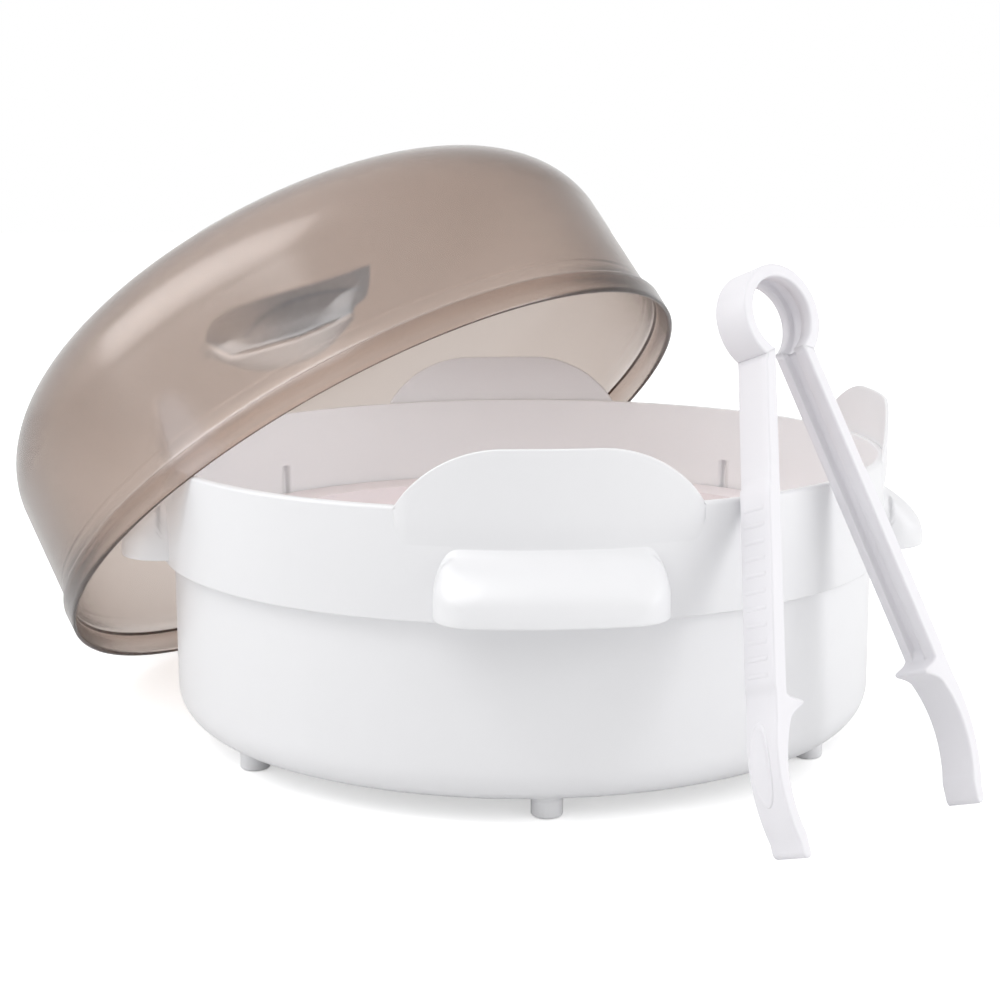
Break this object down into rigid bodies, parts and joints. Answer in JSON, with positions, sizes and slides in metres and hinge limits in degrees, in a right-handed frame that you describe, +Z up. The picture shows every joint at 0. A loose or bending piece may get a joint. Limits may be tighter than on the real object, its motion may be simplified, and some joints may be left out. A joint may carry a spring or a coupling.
{
  "type": "microwave bottle sterilizer",
  "caption": "Round microwave bottle sterilizer: white bowl with a hooded guard ring and inner rack, a domed tinted lid leaned against it, and sprung bottle tongs.",
  "frame": {"origin": "on the bowl's axis, on the surface that its feet stand on", "axes": "+Z up along the bowl's axis; -Y is the front, where one foot, one tab and one grip face; +X is to the right"},
  "size_m": [0.3236, 0.342, 0.204],
  "materials": {
    "white_plastic": "glossy white moulding",
    "tinted_plastic": "glossy translucent taupe moulding",
    "tongs_plastic": "satin white moulding"
  },
  "bodies": {
    "base": {"bowl": "white_plastic", "guard_ring": "white_plastic"},
    "rack": {"rack": "white_plastic"},
    "lid": {"lid": "tinted_plastic"},
    "tongs": {"tongs_loop": "tongs_plastic"},
    "tongs_left": {"tongs_arm_left": "tongs_plastic"},
    "tongs_right": {"tongs_arm_right": "tongs_plastic"}
  },
  "joints": [
    {"name": "rack_lift", "type": "slide", "parent": "base", "child": "rack", "axis": [0, 0, 1], "range_m": [0, 0.028]},
    {"name": "lid_lift", "type": "slide", "parent": "base", "child": "lid", "axis": [0, 0, 1], "range_m": [0, 0.2]},
    {"name": "tongs_lift", "type": "slide", "parent": "base", "child": "tongs", "axis": [0, 0, 1], "range_m": [0, 0.2]},
    {"name": "tongs_squeeze_left", "type": "hinge", "parent": "tongs", "child": "tongs_left", "pos_m": [0.06572, -0.09782, 0.14125], "axis": [0.5367, -0.777, 0.3291], "range_deg": [0, 13.8], "stiffness_Nm_per_rad": 0.5, "springref_deg": -5.73},
    {"name": "tongs_squeeze_right", "type": "hinge", "parent": "tongs", "child": "tongs_right", "pos_m": [0.07543, -0.09111, 0.14125], "axis": [-0.5367, 0.777, -0.3291], "range_deg": [0, 13.8], "stiffness_Nm_per_rad": 0.5, "springref_deg": -5.73}
  ]
}
